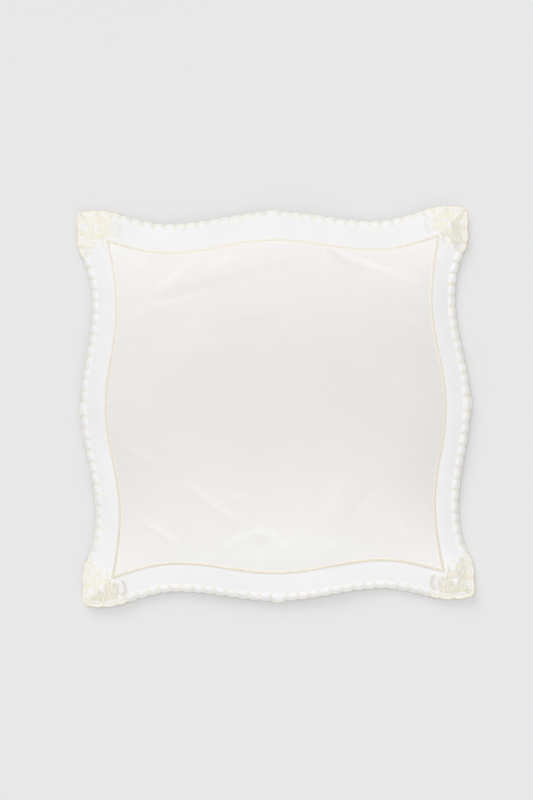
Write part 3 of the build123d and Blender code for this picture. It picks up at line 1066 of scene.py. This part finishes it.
def ring(x, y, rx, ry, start=0, end=360, count=9):
    """Points round an oval, from start to end in degrees."""
    a = np.radians(np.linspace(start, end, count))
    return np.stack([x + rx * np.cos(a), y + ry * np.sin(a)], axis=1)


# Discs that together are the lace's ground, and the openings cut in it, each as (x, y, radius)
GROUND = ((7.4, 7.2, 5.6), (14.0, 7.6, 6.0), (19.0, 8.6, 4.7),
          (6.8, 14.0, 5.2), (13.2, 15.0, 5.4), (7.0, 20.4, 4.6))
OPENINGS = ((12.2, 11.8, 1.9), (13.9, 20.2, 2.0), (4.0, 17.0, 1.3),
            (4.0, 9.4, 1.2), (19.3, 9.8, 1.0), (10.4, 3.0, 1.1))


def in_discs(x, y, discs):
    """Whether a point lies in any of the discs."""
    return np.any([np.hypot(x - cx, y - cy) < radius for cx, cy, radius in discs], axis=0)


def in_lace(x, y):
    """Whether a point lies over the lace's net."""
    return (x > 2.0) & (y > 2.0) & in_discs(x, y, GROUND) & ~in_discs(x, y, OPENINGS)


def net(mesh):
    """The lace's ground: a fine net of crossing threads, cut to its outline."""
    t = np.linspace(0, 24, 97)
    for slope in (1, -1):
        for start in np.arange(-24, 48, NET_PITCH):
            x, y = t, start + slope * t
            inside = np.flatnonzero(in_lace(x, y))
            for run in np.split(inside, np.flatnonzero(np.diff(inside) > 1) + 1):
                if len(run) > 4:
                    ends = [(x[k], y[k]) for k in (run[0], run[len(run) // 2], run[-1])]
                    band(mesh, ends, 0.5, 0.3, pitch=1.5, around=6, lift=0.3)


def lace(mesh):
    """The corner's net with its scrolls, arch, stripes and eyelets."""
    mesh.slot = 1
    net(mesh)
    mesh.slot = 0
    # The scroll's upper and lower lobes, and the rope down their right side
    strands(mesh, [(11.6, 3.0), (11.7, 5.4), (12.6, 8.0)], [(17.2, 2.6), (17.1, 5.4), (17.5, 7.8)], 6)
    strands(mesh, [(13.6, 8.8), (14.0, 10.8), (15.0, 12.6)], [(17.2, 8.6), (17.2, 10.8), (16.8, 12.6)], 4)
    band(mesh, [(18.3, 7.6), (18.5, 11.0), (18.2, 14.6)], 1.0, 0.8)
    # The smaller scroll on its left and the line beside the rose
    strands(mesh, [(9.0, 3.4), (8.9, 5.6), (9.4, 7.6)], [(10.8, 3.0), (10.7, 5.4), (11.4, 8.0)], 3, 0.75)
    band(mesh, [(7.9, 3.6), (7.7, 8.0), (7.9, 12.4)], 0.75)
    # The arch, its legs and the drop below it
    strands(mesh, [(11.0, 15.0), (14.2, 13.9), (17.6, 14.8)], [(10.4, 17.8), (14.2, 16.8), (17.8, 17.8)], 4)
    strands(mesh, [(9.2, 18.6), (9.0, 20.4), (9.8, 22.4)], [(11.6, 18.6), (11.4, 20.6), (11.9, 22.4)], 3)
    strands(mesh, [(15.8, 18.6), (15.9, 21.8)], [(17.0, 18.6), (17.2, 21.6)], 2)
    band(mesh, [(13.2, 22.9), (13.1, 26.2)], 0.7, 0.5)
    # Slanting stripes, the bars to their left and the eyelets under them
    for i in range(4):
        band(mesh, [(6.7 + 0.95 * i, 17.6), (7.5 + 0.9 * i, 13.4), (9.0 + 0.7 * i, 8.8)], 0.55, 0.5)
    strands(mesh, [(2.4, 13.1), (6.4, 13.3)], [(2.4, 14.9), (6.2, 15.1)], 3, 0.75)
    for x, y in ((3.4, 17.6), (5.7, 17.4), (3.4, 20.0)):
        band(mesh, ring(x, y, 0.95, 1.0), 0.55, 0.5)
    for x, y in ((3.0, 10.3), (4.6, 11.5), (6.2, 10.4), (6.3, 12.0), (3.0, 11.8)):
        band(mesh, [(x - 0.5, y), (x + 0.5, y + 0.2)], 0.75, 0.6)
    # The eyelets and the braid between the scroll and the bud
    for x, y, size in ((20.9, 4.4, 1.3), (19.0, 5.8, 1.0), (20.9, 7.4, 1.0), (19.9, 10.0, 1.2)):
        band(mesh, ring(x, y, size, size * 1.15), 0.7, 0.6)
    strands(mesh, [(18.9, 12.2), (20.8, 15.4)], [(20.9, 11.2), (22.6, 14.2)], 3, 0.8)


def rose(mesh):
    """Eight curled petals round a ring."""
    x, y = 4.9, 5.6
    for a in range(0, 360, 45):
        c, s = math.cos(math.radians(a)), math.sin(math.radians(a))
        band(mesh, [(x + 1.1 * c, y + 1.1 * s), (x + 2.1 * c - 0.3 * s, y + 2.1 * s + 0.3 * c),
                    (x + 2.7 * c - 1.0 * s, y + 2.7 * s + 1.0 * c)], 1.15, 0.65, leaf=True)
    band(mesh, ring(x, y, 0.75, 0.75), 0.8, 0.8)


# Each leaf's stalk and tip
LEAVES = (((3.6, 22.2), (6.2, 20.6)), ((5.6, 22.6), (8.2, 21.4)),
          ((4.4, 24.0), (7.0, 26.2)), ((7.2, 24.6), (9.9, 26.4)))
LEAF_SWELL = 0.28


def leaves(mesh):
    """Four outlined leaves, each with a vein."""
    for stalk, tip in LEAVES:
        middle = ((stalk[0] + tip[0]) / 2, (stalk[1] + tip[1]) / 2)
        for swell_by in (LEAF_SWELL, -LEAF_SWELL):
            bow = (middle[0] + swell_by * (tip[1] - stalk[1]), middle[1] - swell_by * (tip[0] - stalk[0]))
            band(mesh, [stalk, bow, tip], 0.65, 0.55)
        band(mesh, [stalk, middle], 0.5, 0.45)


def bud(mesh):
    """A round bud of bowed threads, with a stem and three short stitches."""
    outer = ring(25.4, 11.0, 2.9, 5.0, -110, 100)
    strands(mesh, outer, ring(25.0, 11.0, 1.5, 3.6, -110, 100), 3, 0.6, 0.3)
    band(mesh, [(23.3, 7.4), (23.0, 11.0), (23.6, 14.8)], 0.6, 0.4)
    for y in (9.2, 11.0, 12.8):
        band(mesh, [(24.3, y), (25.2, y + 0.3)], 0.7, 0.4)


def make_corner(kind, draw, slot, *materials):
    """One kind of embroidery in all four corners, drawn from the top left outer corner, inward and down."""
    for name, (right, up) in CORNERS.items():
        mesh = Mesh()
        draw(mesh)
        for grid in mesh.points:
            grid[:, 0] = right * (HALF - grid[:, 0])
            grid[:, 1] = up * (HALF - grid[:, 1])
        piece = outward(mesh.make(f"{kind}_{name}", *materials))
        finish_piece(piece, f"corner_{kind}_{name}")


make_corner("lace", lace, "cream_thread", CREAM, PALE)
make_corner("rose", rose, "rose_thread", CREAM)
make_corner("leaves", leaves, "rose_thread", PALE)
make_corner("bud", bud, "rose_thread", DUSK)


# -------- stage, light and camera

# Metres, apart from the camera's turn in degrees and its lens in millimetres
FLOOR_REACH = 40.0
FLOOR_GAP = 0.00005
CAMERA_AT = (-0.0056, 0.0041, 1.211)
CAMERA_TURN = -0.93
LENS = 85
WORLD_STRENGTH = 0.33
# Where each sun's light comes from, its strength, its width in degrees and whether it throws a shadow. The
# fill only evens out the pillow, so it throws none.
SUNS = {"overhead": ((-0.05, 0.09, 1.0), 1.32, 40, True), "key": ((-0.38, 0.77, 0.55), 0.86, 35, True),
        "fill": ((0.42, -0.8, 0.5), 0.66, 60, False)}


def make_floor():
    """A wide, level floor just under the pillow."""
    mesh = bpy.data.meshes.new("floor")
    corners = [(x * FLOOR_REACH, y * FLOOR_REACH, 0) for x, y in ((-1, -1), (1, -1), (1, 1), (-1, 1))]
    mesh.from_pydata(corners, [], [(0, 1, 2, 3)])
    mesh.materials.append(plain_floor())
    floor = add_object("floor", mesh)
    floor.location.z = -FLOOR_GAP


def make_sun(name, direction, strength, spread, shadow):
    """A soft light from far away."""
    light = bpy.data.lights.new(name, "SUN")
    light.energy = strength
    light.angle = math.radians(spread)
    light.use_shadow = shadow
    x, y, z = np.array(direction) / np.linalg.norm(direction)
    add_object(name, light).rotation_euler = (math.acos(z), 0, math.atan2(y, x) + math.pi / 2)


def make_light():
    """The white world and the suns."""
    world = bpy.data.worlds.new("studio")
    world.use_nodes = True
    background = world.node_tree.nodes["Background"]
    background.inputs["Color"].default_value = (1, 1, 1, 1)
    background.inputs["Strength"].default_value = WORLD_STRENGTH
    bpy.context.scene.world = world
    for name, sun in SUNS.items():
        make_sun(name, *sun)


def make_camera():
    """Straight down, turned a little, with the pillow just right of and below the picture's middle."""
    data = bpy.data.cameras.new("camera")
    data.lens = LENS
    camera = add_object("camera", data)
    camera.location = CAMERA_AT
    camera.rotation_euler = (0, 0, math.radians(CAMERA_TURN))
    bpy.context.scene.camera = camera


make_floor()
make_light()
make_camera()
bpy.context.scene.view_settings.view_transform = "Standard"
